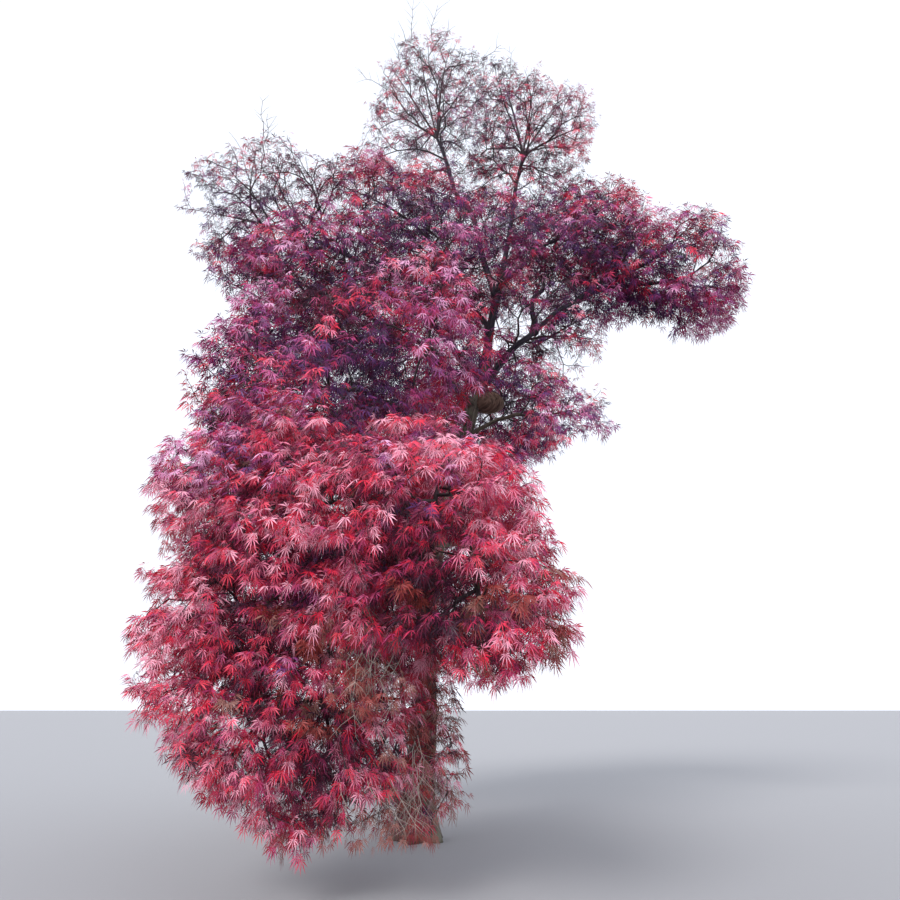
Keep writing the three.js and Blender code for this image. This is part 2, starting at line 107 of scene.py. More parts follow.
# The foliage's rule, as in the source, and how far it is carried on here
WALL = 0.004
STEM_SHORT = 0.12
STEM_BEND = 0.35
WINDING = 0.35
TWIG_RISE = 0.14
STEEP = 0.8
TIPS_TRIED = 14000
WIDEST = 1.5  # how far tips are tried, as a share of the mass's own reach
MELT = 0.98  # how sharply neighbouring masses keep apart
SHELL = 0.42  # metres from the crown's skin inwards that are full of leaves
SHADE_DEPTH = 0.17  # metres inside which the leaves' tints are darker, as painted shade
DEEP_SHARE = 0.3  # how much of the foliage is left deeper inside
NEAR_GAP = 0.08
CROWDING = 0.06  # metres that a node counts as farther away for each twig that it bears
STEM_NODES = 10
STEM_ON_BOUGH = 3  # those of them that may be inside the bough's bark
FORK_BEND = 0.12
LONG_TWIG = 0.24
LONG_NODES = 6  # of a twig longer than that
SHORT_NODES = 3
TWIG_SIDES = 3
TWIG_TIP_RADIUS = 0.0021
TWIG_LOAD_POWER = 0.47  # a twig's radius grows by this power of the tips that it carries
TWIG_HEADING = 0.45  # how much a twig keeps of its parent's direction where it leaves it
TWIG_CROOK = 0.03  # sideways shifts of a twig's nodes, as a share of its length
LIMB_ROOM = 0.012  # between a limb's bark and the twigs and leaves that pass it
GROUND_ROOM = 0.04
LIMB_NEAR = 0.3  # limbs farther away than this aren't looked at
BOUGH_FORK = 0.22  # where along a bough its first twigs are
BOUGH_NODE_STEP = 0.08  # metres between the places where twigs may start
FRINGE_FROM = 0.16  # metres from a bough's middle line to the nearest tips beside it
HANGING_FRINGE = 0.58  # metres to the farthest of those that are below it
FRINGE_SPREAD = (1, 1, 0.7)
FRINGE_LEAN = 0.5  # how much the fringe of a weeping bough leans down
FRINGE_LOWEST = 0.3
SKIN_RELIEF = 0.9  # how far the crown's skin is drawn in here and there
CLEARING_LENGTH = 1.9  # metres towards the front from the knot that are open
CLEARING_BACK = 0.1  # metres towards the back
CLEARING_FALL = 0.54  # how far it falls for each metre forwards
CLEARING_HALF = (0.27, 0.21)  # its half width and half height

# The bare twigs
OUTER_WOOD = 0.62  # how far out in a mass they start, as a share of its half size
STRAND_WOOD = 0.75
SHOOTS_FROM = 0.3  # shoots start where the way out of the mass rises more than this
STRANDS_TO = (0.2, 0.1)  # and strands where it leads back and up less than this
SHOOT_LENGTH = (0.2, 0.44)
SHOOT_LIFT = 0.2
SHOOT_STRAY = 0.3
SHOOT_BOW = 0.12
SHOOT_SAG = 0.1
SHOOT_DROP = -0.2  # how far its sprigs turn down
STRAND_LENGTH = (0.25, 0.55)
STRAND_LOWEST = 0.34
STRAND_OUT = 0.25
STRAND_STRAY = 0.12
STRAND_BOW = 0.22
STRAND_DROP = 0.3
CURTAIN = (-0.04, -2.1)  # the middle of the near masses' strands, seen from above
CURTAIN_REACH = 0.5
SHOOT_RADIUS = 0.0042
STRAND_RADIUS = 0.0032
BARE_TIP = 0.35  # the radius at a bare twig's tip, as a share of that at its root
SPRIG_LENGTH = (0.07, 0.2)
SPRIG_RADIUS = 0.5  # as a share of its twig's
SPRIG_LOSS = 0.3  # the share of places without a sprig
SPRIG_TURN = 0.9
SPRIG_ALONG = 0.8
SPRIG_BOW = 0.08
PAST_SOLIDS = 0.12  # how far they may pass the solids' box

# The leaves
LEAF_LENGTH = 0.064  # the middle lobe
LEAF_STEP = 0.036  # between pairs of leaves along a twig
NEAR_LEAF_STEP = 0.0172
NEAR_LEAF = 0.82  # of the others' length
LEAFY_LENGTH = 0.34  # the outer stretch of a twig that bears leaves
LEAFY_SHARE = 0.85  # of a shorter twig
STALK = 0.03
STALK_LENGTHS = (0.6, 1.6)  # as shares of that
STALK_RISE = 0.2
STALK_HALF = 0.018  # half its width, as a share of the leaf's length
STRAND_LEAF = 0.8  # of the others' size, for a strand's last leaves
STRAND_LEAVES = 0.6  # the share of hanging twigs that still have them
LEAF_SIZES = (0.7, 1.2)
LEAF_SPREAD = (20, 85)  # degrees between a leaf's stalk and its twig
LEAF_TURN = 0.8
LEAF_DROOP = (0.1, 0.6)
WEEP_DROOP = 0.6  # more of it where the tree weeps
WEEP_SHARES = (0.2, 1.2)
FACE_UP = 0.8  # how much a blade faces the sky, the crown's outside and any side
FACE_OUT = 0.5
FACE_STRAY = 0.6
# Degrees between a lobe and the middle one, and its length as a share of the middle one's
NEAR_LOBES = [(0, 1.0), (33, 0.93), (66, 0.78), (100, 0.5)]
LOBES = [(0, 1.0), (38, 0.92), (78, 0.7)]
LOBE_WIDTH = 0.1  # as a share of the leaf's length
NEAR_LOBE_WIDTH = 0.068
LOBE_BELLY = 0.46  # where a lobe is widest
LOBE_DROOP = 0.45

# The bark's relief
TRUNK_SIDES = 56
BOUGH_SIDES = 18
TRUNK_RING = 0.02
BOUGH_RING = 0.03
COLLAR = 0.45  # how much a bough swells where it leaves its parent
COLLAR_LENGTH = 0.07
HIGH_BARK_FROM = 4.7  # the height of the masses whose boughs have the dark bark


@dataclass
class Row:
    """A bough and its mass of foliage. The first fields are the source's, in metres."""

    name: str
    parent: str
    at: float
    bearing: float
    reach: float
    height: float
    half: tuple
    arch: float
    weep: float
    open: float = 0.06  # the share of the mass left open to the sky
    bare: float = 0.0  # the share of leaves that its twigs have lost
    tone: float = 0.0  # how far its colours move towards the dark end
    dry: float = 0.0  # its share of withered leaves
    shoots: int = 0  # bare twigs that stand out of its top
    strands: int = 0  # bare twigs that hang from it
    leaf: float = 1.0  # the size of its leaves
    stout: float = 1.0  # the thickness of its twigs
    gap: float = 0.102  # metres from any open tip to a twig when no more grow
    beside: int = 34  # tips beside the bough for each metre of it
    fringe: float = 0.5  # how far they rise from it
    near: bool = False  # with more and finer leaves
    forks: tuple = ()  # where its first limbs lead, in halves of the mass from its middle

    @property
    def middle(self):
        angle = math.radians(self.bearing)
        return np.array([self.reach * math.cos(angle), self.reach * math.sin(angle), self.height])


CROWN = [
    Row("crown_right", "trunk", 1, 355, 1.15, 7.15, (0.8, 0.7, 0.85), 0.03, 0.1,
        open=0.12, bare=0.12, tone=0.12, shoots=6, leaf=0.92, stout=1.2,
        forks=((-0.35, 0, 0.9), (0.15, -0.2, 0.95), (0.6, 0.1, 0.65), (0.95, 0, 0.1))),
    Row("crown_left", "crown_right", 0.3, 264, 0.3, 7.25, (0.72, 0.65, 1.0), 0.05, 0.1,
        open=0.14, bare=0.3, tone=0.26, shoots=14, leaf=0.88, stout=1.2,
        forks=((-0.1, 0, 0.95), (-0.6, 0.1, 0.75), (0.4, -0.2, 0.8), (-0.9, 0, 0.1))),
    Row("upper_right", "crown_right", 0.35, 3, 1.71, 5.95, (0.6, 0.6, 0.43), 0.1, 0.35,
        tone=-0.02, leaf=1.12, gap=0.086),
    Row("upper_left", "trunk", 0.96, 199, 1.56, 5.58, (1.02, 0.8, 0.65), 0.14, 0.3,
        open=0.1, bare=0.14, tone=0.28, shoots=12, leaf=0.88, stout=1.3,
        forks=((-0.95, -0.1, 0.05), (-0.6, 0, 0.8), (-0.1, 0.1, 0.85), (0.45, 0, 0.75))),
    Row("upper_middle", "upper_left", 0.18, 274, 0.9, 5.1, (1.05, 0.7, 0.62), 0.15, 0.5,
        open=0.02, tone=0.08, gap=0.098),
    Row("right_tier", "trunk", 0.93, 355, 2.21, 5.25, (0.8, 0.75, 0.47), 0.16, 0.4,
        open=0.02, tone=0.02, leaf=1.14, gap=0.084),
    Row("right_tip", "right_tier", 0.72, 358, 2.82, 5.02, (0.43, 0.52, 0.48), 0.18, 0.7,
        open=0.18, tone=0.04, shoots=3, leaf=1.08, gap=0.092),
    Row("middle_left_high", "trunk", 0.89, 233, 1.5, 4.2, (0.9, 0.7, 0.52), 0.2, 0.6,
        open=0, tone=-0.06, shoots=2, gap=0.091),
    Row("middle_left", "trunk", 0.76, 242, 1.8, 3.1, (0.83, 0.7, 0.56), 0.24, 0.8,
        open=0.02, tone=-0.05, gap=0.094),
    Row("centre", "trunk", 0.84, 270, 1.4, 3.65, (0.6, 0.55, 0.52), 0.22, 0.7, tone=-0.16),
    Row("right_airy", "right_tier", 0.22, 0, 1.18, 4.5, (0.7, 0.6, 0.52), 0.1, 0.3,
        open=0.2, bare=0.5, tone=0.1, stout=1.25),
    Row("right_low", "trunk", 0.8, 336, 1.22, 3.4, (0.64, 0.6, 0.45), 0.22, 0.7,
        open=0.1, bare=0.1, tone=0.1),
    Row("left_high", "middle_left", 0.55, 240, 2.08, 2.15, (0.66, 0.65, 0.52), 0.3, 0.9,
        open=0.16, tone=-0.22, shoots=2, fringe=0.33, near=True),
    Row("left_low", "trunk", 0.52, 241, 2.15, 1.35, (0.55, 0.6, 0.56), 0.24, 0.9,
        open=0.16, tone=-0.26, beside=74, fringe=0.45, near=True),
    Row("front_high", "trunk", 0.66, 274, 2.7, 1.96, (0.55, 0.5, 0.35), 0.26, 0.8,
        open=0.17, tone=-0.15, beside=74, fringe=0.33, near=True),
    Row("front_low", "front_high", 0.62, 279, 2.62, 1.38, (0.5, 0.48, 0.34), 0.2, 0.9,
        open=0.15, tone=0.02, dry=0.12, strands=8, fringe=0.4, near=True),
    Row("front_left", "front_high", 0.4, 260, 2.33, 1.95, (0.52, 0.5, 0.54), 0.26, 0.9,
        open=0.17, tone=-0.15, dry=0.04, strands=34, fringe=0.33, near=True),
    Row("skirt_left", "left_low", 0.45, 254, 1.98, 0.85, (0.54, 0.52, 0.62), 0.2, 1,
        dry=0.12, strands=6, near=True),
    Row("skirt_right", "left_low", 0.2, 268, 1.45, 0.8, (0.38, 0.42, 0.56), 0.26, 1,
        bare=0.5, tone=0.08, dry=0.5, strands=32, near=True),
    Row("back_left_high", "trunk", 0.94, 145, 1.58, 5.05, (0.95, 0.8, 0.62), 0.16, 0.4,
        open=0.1, bare=0.3, tone=0.08, shoots=6),
    Row("back_high", "crown_right", 0.12, 78, 0.92, 5.9, (0.95, 0.75, 0.62), 0.12, 0.3,
        open=0.1, bare=0.35, tone=0.08, shoots=8),
    Row("back_right_high", "right_tier", 0.4, 33, 1.66, 6.05, (0.82, 0.7, 0.44), 0.1, 0.3,
        open=0.1, bare=0.35, tone=0.08, shoots=6),
    Row("back_left", "trunk", 0.81, 158, 1.84, 3.65, (0.88, 0.8, 0.72), 0.2, 0.6),
    Row("back", "trunk", 0.9, 98, 1.52, 3.95, (0.95, 0.75, 0.72), 0.2, 0.5),
    Row("back_right", "trunk", 0.86, 57, 1.43, 4.05, (0.7, 0.7, 0.6), 0.2, 0.6, tone=0.04),
    Row("back_left_low", "trunk", 0.6, 169, 1.56, 1.95, (0.74, 0.8, 0.85), 0.26, 0.9,
        tone=-0.08),
    Row("back_low", "trunk", 0.7, 101, 1.54, 2.05, (0.88, 0.72, 0.85), 0.26, 0.9,
        tone=-0.05),
    Row("back_right_low", "trunk", 0.56, 50, 1.18, 2.1, (0.58, 0.65, 0.68), 0.26, 0.9,
        tone=-0.05),
]


def unit(vectors):
    return vectors / np.maximum(norm(vectors, axis=-1, keepdims=True), 1e-9)


def across_of(along):
    """The direction across a limb, level unless the limb is steep."""
    steep = np.abs(along[..., 2:]) >= STEEP
    return unit(np.cross(along, np.where(steep, BACK, UP)))


# Materials

def linear(shade):
    """Linear values of an sRGB colour."""
    return [c / 12.92 if c <= 0.04045 else ((c + 0.055) / 1.055) ** 2.4 for c in shade]


def plain_material(name, shade, roughness, specular=0.5):
    material = bpy.data.materials.new(name)
    material.use_nodes = True
    shader = material.node_tree.nodes["Principled BSDF"]
    shader.inputs["Base Color"].default_value = (*linear(shade), 1)
    shader.inputs["Roughness"].default_value = roughness
    shader.inputs["Specular IOR Level"].default_value = specular
    return material


# Tints, each kind from the palest to the darkest, and the withered ones
# The cool tints are the leaves' own purples, with painted sky reflection in lilac_rose and mauve
# and bluish painted shade in violet and dusk
COOL_TINTS = [
    ("lilac_rose", (0.82, 0.58, 0.72)),
    ("mauve", (0.72, 0.38, 0.56)),
    ("magenta", (0.67, 0.24, 0.46)),
    ("ruby", (0.72, 0.14, 0.31)),
    ("plum", (0.52, 0.23, 0.46)),
    ("wine", (0.48, 0.14, 0.32)),
    ("violet", (0.38, 0.21, 0.43)),
    ("dusk", (0.24, 0.13, 0.27)),
]
WARM_TINTS = [
    ("pale_rose", (0.87, 0.58, 0.66)),
    ("rose", (0.83, 0.43, 0.54)),
    ("coral", (0.84, 0.22, 0.33)),
    ("scarlet", (0.79, 0.11, 0.23)),
    ("crimson", (0.70, 0.17, 0.31)),
    ("raspberry", (0.61, 0.20, 0.37)),
    ("maroon", (0.43, 0.11, 0.22)),
    ("shade", (0.24, 0.10, 0.18)),
]
DRY_TINTS = [("brick", (0.53, 0.20, 0.19)), ("withered", (0.52, 0.34, 0.31))]
# The share of the leaves in each, from the palest, partly painted highlights, to the darkest,
# partly painted shade
TINT_SHARES = [0.09, 0.19, 0.19, 0.17, 0.14, 0.10, 0.08, 0.04]
# The share in the warm tints at some heights
WARM_HEIGHTS = [1.0, 2.2, 3.4, 5.0, 6.5]
WARM_SHARES = [0.9, 0.74, 0.38, 0.36, 0.6]
CLUSTERED = 0.6  # how much a spray's tint follows those near it
SHADING = 0.7  # how far painted shade takes the tints towards the dark end deep inside a mass
NEAR_STRAY = 3  # steps that a leaf's tint may be from its spray's
STRAY = 2
BRICK_SHARE = 0.6  # of the withered leaves
BRICK = len(COOL_TINTS) + len(WARM_TINTS)
WITHERED = BRICK + 1
LEAF_MATERIALS = [plain_material("leaf_" + name, shade, roughness=0.45, specular=0.3)
                  for name, shade in COOL_TINTS + WARM_TINTS + DRY_TINTS]


def add_node(tree, kind, **settings):
    node = tree.nodes.new(kind)
    for name, value in settings.items():
        setattr(node, name, value)
    return node


def noise(tree, vector, scale, detail, roughness=0.5):
    node = add_node(tree, "ShaderNodeTexNoise")
    node.inputs["Scale"].default_value = scale
    node.inputs["Detail"].default_value = detail
    node.inputs["Roughness"].default_value = roughness
    tree.links.new(vector, node.inputs["Vector"])
    return node.outputs["Fac"]


def ramp(tree, value, low, high, first=(0, 0, 0), last=(1, 1, 1)):
    """Colours from the first to the last one, for values from low to high."""
    node = add_node(tree, "ShaderNodeValToRGB")
    for element, position, shade in zip(node.color_ramp.elements, (low, high), (first, last)):
        element.position = position
        element.color = (*linear(shade), 1)
    tree.links.new(value, node.inputs["Fac"])
    return node.outputs["Color"]


def bark_material(name, dark, light, lichen, crack_scale=26, bump_depth=0.012):
    """Fissured bark. Its pattern runs along the limb in a UV map of metres."""
    material = bpy.data.materials.new(name)
    material.use_nodes = True
    tree = material.node_tree
    link = tree.links.new
    shader = tree.nodes["Principled BSDF"]
    shader.inputs["Roughness"].default_value = 0.88
    shader.inputs["Specular IOR Level"].default_value = 0.25

    place = add_node(tree, "ShaderNodeUVMap", uv_map="bark").outputs["UV"]
    stretch = add_node(tree, "ShaderNodeMapping")
    stretch.inputs["Scale"].default_value = (1, BARK_STRETCH, 1)
    link(place, stretch.inputs["Vector"])
    cracks = noise(tree, stretch.outputs["Vector"], crack_scale, detail=7, roughness=0.68)
    patches = noise(tree, place, PATCH_SCALE, detail=4)

    mix = add_node(tree, "ShaderNodeMix", data_type="RGBA")
    mix.inputs["B"].default_value = (*linear(lichen), 1)
    link(ramp(tree, patches, low=0.52, high=0.7), mix.inputs["Factor"])
    link(ramp(tree, cracks, 0.36, 0.64, dark, light), mix.inputs["A"])
    link(mix.outputs["Result"], shader.inputs["Base Color"])

    bump = add_node(tree, "ShaderNodeBump")
    bump.inputs["Strength"].default_value = 0.8
    bump.inputs["Distance"].default_value = bump_depth
    link(cracks, bump.inputs["Height"])
    link(bump.outputs["Normal"], shader.inputs["Normal"])
    return material


BARK_STRETCH = 0.16  # the scale of the cracks' pattern along the limb, against across it
PATCH_SCALE = 5  # of the lichen
BARK = bark_material("bark", (0.20, 0.17, 0.15), (0.47, 0.43, 0.39), (0.44, 0.46, 0.38))
HIGH_BARK = bark_material("high_bark", (0.12, 0.11, 0.14), (0.31, 0.29, 0.33), (0.30, 0.32, 0.30))
KNOT_BARK = bark_material(
    "knot_bark", (0.19, 0.14, 0.13), (0.56, 0.45, 0.39), (0.44, 0.37, 0.32), 22, 0.02)
TWIG_BARK = plain_material("twig_bark", (0.23, 0.18, 0.20), 0.7)
BARE_TWIG_BARK = plain_material("bare_twig_bark", (0.62, 0.57, 0.54), 0.75)


# Mesh building

def tube_walls(rings, sides):
    """Triangles between a tube's rings of vertices."""
    around = np.arange(sides)
    first = np.arange(rings - 1)[:, None] * sides
    low = first + around
    after = first + (around + 1) % sides
    halves = [(low, after, after + sides), (low, after + sides, low + sides)]
    return np.concatenate([np.stack(half, axis=-1).reshape(-1, 3) for half in halves])


def make_mesh(name, vertices, faces, materials, material_of=None, uvs=None):
    """A mesh from arrays: faces are rows of three or four vertex numbers."""
    mesh = bpy.data.meshes.new(name)
    faces = np.asarray(faces, np.int32)
    mesh.vertices.add(len(vertices))
    mesh.vertices.foreach_set("co", np.asarray(vertices, np.float32).ravel())
    mesh.loops.add(faces.size)
    mesh.loops.foreach_set("vertex_index", faces.ravel())
    mesh.polygons.add(len(faces))
    mesh.polygons.foreach_set("loop_start", np.arange(len(faces), dtype=np.int32) * faces.shape[1])
    for material in materials:
        mesh.materials.append(material)
    if material_of is not None:
        mesh.polygons.foreach_set("material_index", np.asarray(material_of, np.int32))
    if uvs is not None:
        layer = mesh.uv_layers.new(name="bark")
        layer.data.foreach_set("uv", np.asarray(uvs, np.float32).ravel())
    mesh.polygons.foreach_set("use_smooth", np.ones(len(faces), bool))
    mesh.update(calc_edges=True)
    mesh.validate()
    return mesh


def add_object(name, data):
    thing = bpy.data.objects.new(name, data)
    bpy.context.scene.collection.objects.link(thing)
    return thing


def add_piece(mesh, slot, *nodes):
    piece = add_object(mesh.name, mesh)
    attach(piece, "root")
    if nodes:
        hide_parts(*nodes)


# Smooth seeded fields, for clusters of colour and for openings

WAVES = 9  # plane waves that a field adds up
WAVE_SPREAD = (0.6, 1.4)  # of their lengths
FIELD_CONTRAST = 0.8


class Field:
    """A smooth field in space, from 0 to 1, with lumps of about one size in metres."""

    def __init__(self, lump, seed, layered=1.0):
        rng = np.random.default_rng(seed)
        ways = unit(rng.normal(size=(WAVES, 3)))
        self.waves = ways * (math.pi / lump) * rng.uniform(*WAVE_SPREAD, (WAVES, 1))
        self.waves[:, 2] *= layered
        self.phases = rng.uniform(0, 2 * math.pi, WAVES)

    def __call__(self, points):
        total = np.cos(points @ self.waves.T + self.phases).sum(axis=-1) / math.sqrt(WAVES / 2)
        return 0.5 + 0.5 * np.tanh(FIELD_CONTRAST * total)


tint_field = Field(0.42, seed=11)
open_field = Field(0.55, seed=23, layered=2.0)
shelf_field = Field(1.3, seed=31)
skin_field = Field(0.4, seed=41)
warm_field = Field(0.7, seed=53)

# Tips gather in shelves that fall away from the trunk
SHELF_GAP = 0.34
SHELF_FALL = 0.38
SHELF_SHIFT = 0.6  # how far the shelves wander up and down
SHELF_PULL = 0.42
NEAR_SHELF_PULL = 0.36


def shelved(points, pull):
    away = norm(points[:, :2], axis=1)
    level = points[:, 2] + SHELF_FALL * away + SHELF_SHIFT * shelf_field(points)
    off = level - SHELF_GAP * np.round(level / SHELF_GAP)
    return points - pull * off[:, None] * UP


# Limbs

class TrunkCurve:
    length = TRUNK_HEIGHT

    def points(self, shares):
        shares = np.asarray(shares, float)
        sway = TRUNK_SWAY * np.sin(np.pi * shares) ** 2 * np.cos(2 * np.pi * shares)
        along = TRUNK_LEAN * shares ** 2 + sway
        return np.stack([along, -TRUNK_SWAY_FORWARD * sway, TRUNK_HEIGHT * shares], axis=-1)

    def radii(self, shares):
        spread = np.asarray(shares, float) ** TRUNK_TAPER
        return TRUNK_FOOT_RADIUS + (TRUNK_FORK_RADIUS - TRUNK_FOOT_RADIUS) * spread


def bezier(start, middle, tip, shares):
    s = np.asarray(shares, float)[:, None]
    return (1 - s) ** 2 * start + 2 * s * (1 - s) * middle + s ** 2 * tip


class BoughCurve:
    def __init__(self, start, tip, arch, phase):
        self.start = start
        self.tip = tip
        self.phase = phase
        self.length = norm(tip - start)
        self.middle = (start + tip) / 2 + UP * arch * self.length
        self.side = unit(np.cross(tip - start, UP))

    def points(self, shares):
        shares = np.asarray(shares, float)
        wave = np.sin(np.pi * shares) * BOUGH_SWAY * self.length
        sideways = (wave * np.sin(3 * np.pi * shares + self.phase))[:, None] * self.side
        upwards = (0.5 * wave * np.sin(5 * np.pi * shares + self.phase))[:, None] * UP
        return bezier(self.start, self.middle, self.tip, shares) + sideways + upwards

    def radii(self, shares):
        root = BOUGH_TIP_RADIUS + BOUGH_SWELL * self.length
        return root + (BOUGH_TIP_RADIUS - root) * np.asarray(shares, float) ** BOUGH_TAPER


def ellipsoid_reach(half, direction):
    return 1 / norm(direction / half)


class Space:
    """An ellipsoid, cut by a flat wall towards each neighbouring mass."""

    def __init__(self, row):
        self.middle = row.middle
        self.half = np.array(row.half)
        self.pull = NEAR_SHELF_PULL if row.near else SHELF_PULL
        normals = []
        offsets = []
        for other in CROWN:
            if other is row:
                continue
            between = other.middle - self.middle
            distance = norm(between)
            normal = between / distance
            own = ellipsoid_reach(row.half, normal)
            theirs = ellipsoid_reach(other.half, normal)
            normals.append(normal)
            offsets.append(self.middle @ normal + distance * own / (own + theirs) - WALL)
        self.normals = np.array(normals)
        self.offsets = np.array(offsets)

    def share(self, points):
        """How far out points are, as a share of the way to the ellipsoid's skin."""
        return norm((points - self.middle) / self.half, axis=-1)

    def walled(self, points):
        return (points @ self.normals.T < self.offsets).all(axis=-1)

    def way_out(self, direction):
        closing = self.normals @ direction
        ways = (self.offsets - self.normals @ self.middle)[closing > 0] / closing[closing > 0]
        return min(ellipsoid_reach(self.half, direction), ways.min(initial=math.inf))

    def points(self, count, rng):
        """Seeded points in this mass's part of the crown, fewer of them deep inside."""
        rays = unit(rng.normal(size=(count, 3))) * WIDEST * rng.random((count, 1)) ** (1 / 3)
        found = shelved(self.middle + rays * self.half, self.pull)
        found = found[self.walled(found) & (fullness(found) > 1)]
        return found[rng.random(len(found)) < DEEP_SHARE + (1 - DEEP_SHARE) * nearness(found)]


MIDDLES = np.array([row.middle for row in CROWN])
HALVES = np.array([row.half for row in CROWN])
# The ways from the middle of a cube to its corners, edges and sides
LOOK_OUT = unit(np.array([way for way in product((-1, 0, 1), repeat=3) if any(way)], float))


def fullness(points):
    """More than 1 inside the crown: in a mass, or between masses that nearly meet."""
    shares = (((points[:, None] - MIDDLES) / HALVES) ** 2).sum(axis=2)
    return np.exp(MELT * (1 - shares)).sum(axis=1)


def nearness(points, reach=SHELL):
    """1 where one way in four or more leads out within the reach, and 0 where none does."""
    seen = sum(fullness(points + reach * way) < 1 for way in LOOK_OUT)
    return np.minimum(1, 4 * seen / len(LOOK_OUT))


trunk_curve = TrunkCurve()
KNOT_MIDDLE = trunk_curve.points([KNOT_HEIGHT / TRUNK_HEIGHT])[0] + KNOT_OUT * np.array([1, 0, 0])
curves = {"trunk": trunk_curve}
spaces = {}
for index, row in enumerate(CROWN):
    space = Space(row)
    start = curves[row.parent].points([row.at])[0]
    entry = unit(unit(start - space.middle) + ENTRY_RISE * row.weep * UP)
    tip = space.middle + entry * ENTRY * space.way_out(entry)
    curves[row.name] = BoughCurve(start, tip, row.arch, index)
    spaces[row.name] = space

LIMB_SAMPLE = 0.035


def limb_samples():
    """Points along all limbs, and the limbs' radii there."""
    points = []
    radii = []
    for curve in curves.values():
        shares = np.linspace(0, 1, int(curve.length / LIMB_SAMPLE) + 2)
        points.append(curve.points(shares))
        radii.append(curve.radii(shares))
    points.append(KNOT_MIDDLE[None])
    radii.append([KNOT_HALF[0]])
    return np.concatenate(points), np.concatenate(radii)


LIMB_POINTS, LIMB_RADII = limb_samples()


def in_clearing(points):
    """Which points are in the opening before the knot, which falls with the foliage."""
    from_knot = points - KNOT_MIDDLE
    forward = -from_knot[:, 1]
    beside = np.stack([from_knot[:, 0], from_knot[:, 2] + CLEARING_FALL * forward], axis=1)
    inside = norm(beside / CLEARING_HALF, axis=1) < 1
    return inside & (forward > -CLEARING_BACK) & (forward < CLEARING_LENGTH)


def clear_of_limbs(points):
    """Which points are clear of every limb that is near them."""
    low = points.min(axis=0) - LIMB_NEAR
    high = points.max(axis=0) + LIMB_NEAR
    near = ((LIMB_POINTS > low) & (LIMB_POINTS < high)).all(axis=1)
    if not near.any():
        return np.ones(len(points), bool)
    apart = norm(points[:, None] - LIMB_POINTS[near][None], axis=2)
    return (apart > LIMB_RADII[near] + LIMB_ROOM).all(axis=1)


# Bark relief

def limb_mesh(name, curve, ring, sides, radius_at, material):
    """A closed tube with the radius that radius_at(shares, angles, lengths) gives."""
    steps = max(6, int(curve.length / ring))
    shares = np.linspace(0, 1, steps + 1)
    points = curve.points(shares)
    along = unit(np.gradient(points, axis=0))
    chord = unit(points[-1] - points[0])
    across = unit(np.cross(along, BACK if abs(chord[2]) >= STEEP else UP))
    raised = np.cross(across, along)
    lengths = np.concatenate([[0], np.cumsum(norm(np.diff(points, axis=0), axis=1))])
    around = np.arange(sides)
    angles = around * 2 * math.pi / sides
    radius = radius_at(shares[:, None], angles[None], lengths[:, None])
    wide = (radius * np.cos(angles))[..., None] * across[:, None]
    high = (radius * np.sin(angles))[..., None] * raised[:, None]
    skin = points[:, None] + wide + high
    vertices = np.concatenate([skin.reshape(-1, 3), points[:1], points[-1:]])

    after = (around + 1) % sides
    last = steps * sides
    root = np.stack([after, around, np.full(sides, len(vertices) - 2)], axis=1)
    tip = np.stack([last + around, last + after, np.full(sides, len(vertices) - 1)], axis=1)
    faces = np.concatenate([tube_walls(steps + 1, sides), root, tip])

    # Metres round and along the limb, carried on past the last side so that no face wraps
    girth = 2 * math.pi * np.mean(radius)
    turn = np.concatenate([np.tile(around / sides, steps + 1), [0, 0]]) * girth
    length = np.concatenate([np.repeat(lengths, sides), [0, lengths[-1]]])
    u = turn[faces]
    u = np.where(u.max(axis=1, keepdims=True) - u > girth / 2, u + girth, u)
    uvs = np.stack([u, length[faces]], axis=-1).reshape(-1, 2)
    return make_mesh(name, vertices, faces, [material], uvs=uvs)


BREAK = 0.4  # how far ridges sink where they break off
# Three sizes of ridges: their share of the relief, their number round the limb as its turns times
# one number plus another, how far and how often they wander, and how the seed shifts both
RIDGES = [(0.5, 1, 0, 1.4, 6, 1, 1), (0.3, 2, -1, -1.8, 11, 2, 3), (0.2, 3, 2, 1.2, 23, 1, 5)]


def fissures(angles, lengths, turns, seed):
    """Relief from -1 to 1 of ridges that run along a limb, break off and start again."""
    relief = 0
    for share, times, more, wander, often, shift, offset in RIDGES:
        sideways = wander * np.sin(often * lengths + shift * seed) + offset * seed
        relief += share * np.sin((times * turns + more) * angles + sideways)
    broken = 1 - BREAK + BREAK * np.sin(17 * lengths + 3 * np.sin(2 * angles + seed))
    return relief * broken


def lumps(angles, lengths, seed):
    """Relief from -1 to 1 of slow swellings."""
    sideways = np.sin(2 * angles + 3.1 * lengths + seed)
    return 0.6 * sideways + 0.4 * np.sin(7.3 * lengths + 2 * seed)


TRUNK_TURNS = 9  # main ridges round the trunk
BOUGH_TURNS = 5
FISSURE_DEPTH = 0.0045  # on the trunk
FISSURE_SHARE = 0.05  # on a bough, as a share of its radius
TRUNK_LUMP_SHARE = 0.03
LUMP_SHARE = 0.05


def add_trunk():
    def radius_at(shares, angles, lengths):
        dying = np.exp(-shares * TRUNK_HEIGHT / FLARE_HEIGHT)
        ridges = 1 - FLARE_RIDGE + FLARE_RIDGE * np.cos(FLARE_ROOTS * angles)
        radius = trunk_curve.radii(shares) + FLARE * dying * ridges
        relief = FISSURE_DEPTH * fissures(angles, lengths, TRUNK_TURNS, 0.7)
        return radius * (1 + TRUNK_LUMP_SHARE * lumps(angles, lengths, 0.4)) + relief

    mesh = limb_mesh("trunk_bark", trunk_curve, TRUNK_RING, TRUNK_SIDES, radius_at, BARK)
    places = np.zeros(len(mesh.vertices) * 3, np.float32)
    mesh.vertices.foreach_get("co", places)
    heights = places[2::3]
    heights[:TRUNK_SIDES] = 0
    np.maximum(heights, 0, out=heights)
    mesh.vertices.foreach_set("co", places)
    add_piece(mesh, "bark", "trunk")


